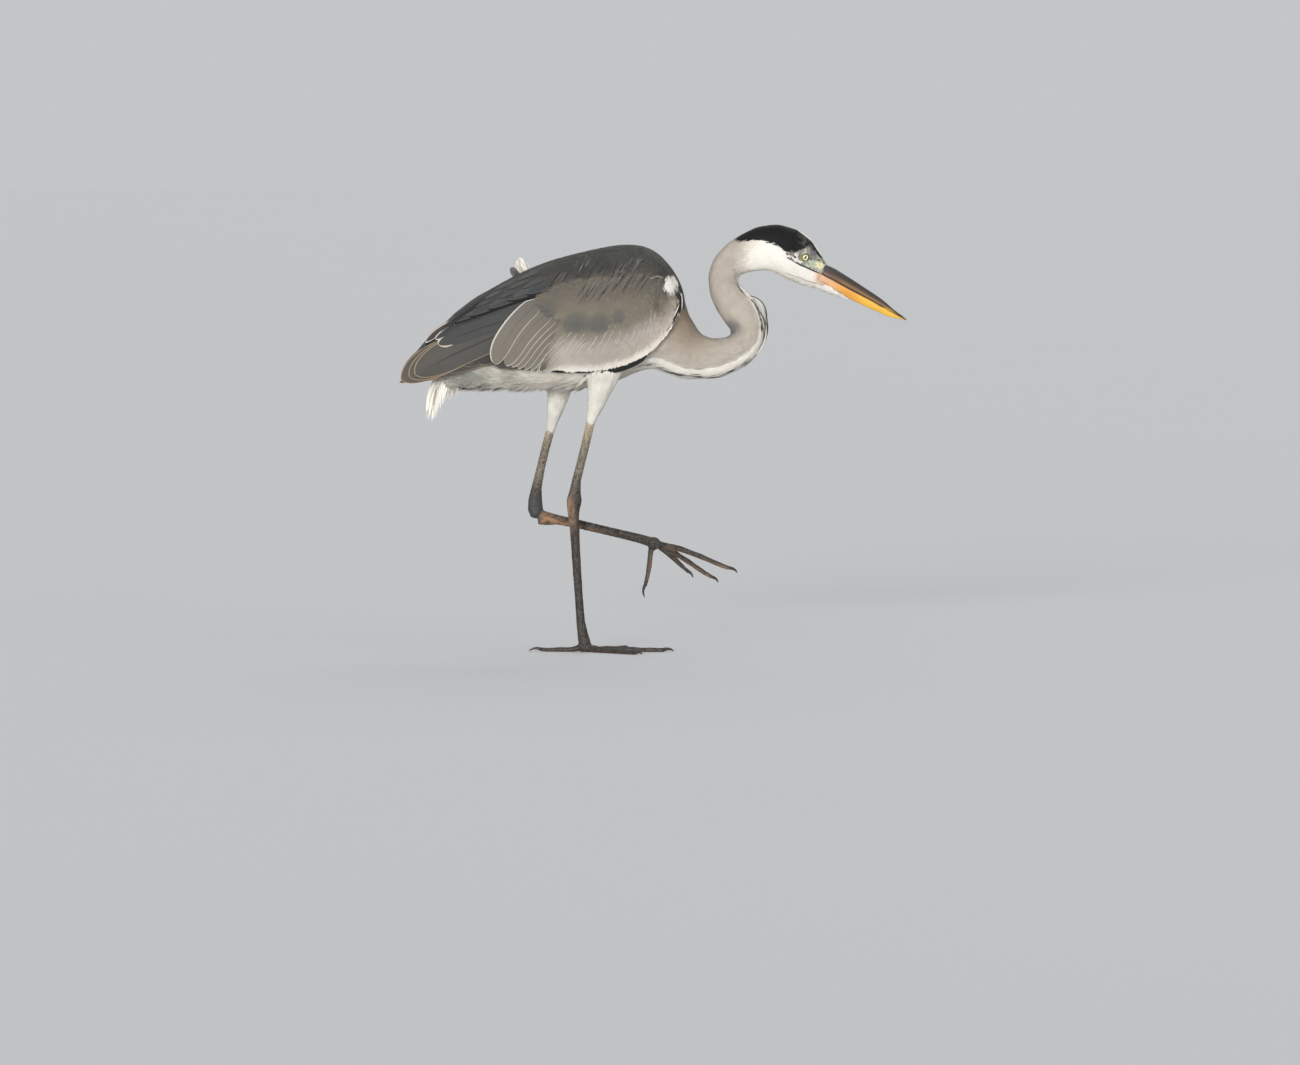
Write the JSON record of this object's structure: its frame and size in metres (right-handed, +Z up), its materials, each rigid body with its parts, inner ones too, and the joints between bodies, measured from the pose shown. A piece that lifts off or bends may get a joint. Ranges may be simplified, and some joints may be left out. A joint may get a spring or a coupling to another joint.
{
  "type": "heron",
  "caption": "Life-size still model of a young cocoi heron stepping: one foot on the floor, the other lifted, neck in an S, bill pointing down ahead.",
  "frame": {"origin": "under the standing (right) foot, where the pad between its toes meets the floor", "axes": "+X the way the bird faces, +Y its left side, +Z up"},
  "size_m": [0.7269, 0.1426, 0.6121],
  "materials": {
    "plumage_grey": "matt slate-grey feathers with paler worn edges",
    "plumage_neck": "soft pale beige-grey down-edged feathers",
    "plumage_head": "short dense blackish cap over white cheeks",
    "plumage_white": "loose white feathers",
    "bill_dark": "horn, dark ridge and ochre edge, satin",
    "bill_orange": "horn, orange to yellow, satin",
    "bare_skin": "fine-grained greenish-yellow bare skin of the lores",
    "eye": "wet and glossy, pale yellow iris round a black pupil",
    "leg_skin": "scaly dark grey-brown skin",
    "claw": "dark horn, satin"
  },
  "bodies": {
    "root": {"trunk": "plumage_grey", "neck_base": "plumage_neck", "neck_lower": "plumage_neck", "neck_bend": "plumage_neck", "neck_middle": "plumage_neck", "neck_upper": "plumage_neck", "head": "plumage_head", "bill_upper": "bill_dark", "bill_lower": "bill_orange", "eye_left": "eye", "eye_right": "eye", "tail": "plumage_grey", "wing_right": "plumage_grey", "wing_left": "plumage_grey", "vent_tuft": "plumage_white", "back_tuft": "plumage_white", "thigh_right": "plumage_white", "shin_right": "leg_skin", "tarsus_right": "leg_skin", "foot_right": "leg_skin", "toe_middle_right": "leg_skin", "claw_middle_right": "claw", "toe_inner_right": "leg_skin", "claw_inner_right": "claw", "toe_outer_right": "leg_skin", "claw_outer_right": "claw", "toe_hind_right": "leg_skin", "claw_hind_right": "claw", "thigh_left": "plumage_white", "shin_left": "leg_skin", "tarsus_left": "leg_skin", "foot_left": "leg_skin", "toe_middle_left": "leg_skin", "claw_middle_left": "claw", "toe_inner_left": "leg_skin", "claw_inner_left": "claw", "toe_outer_left": "leg_skin", "claw_outer_left": "claw", "toe_hind_left": "leg_skin", "claw_hind_left": "claw"}
  },
  "joints": []
}
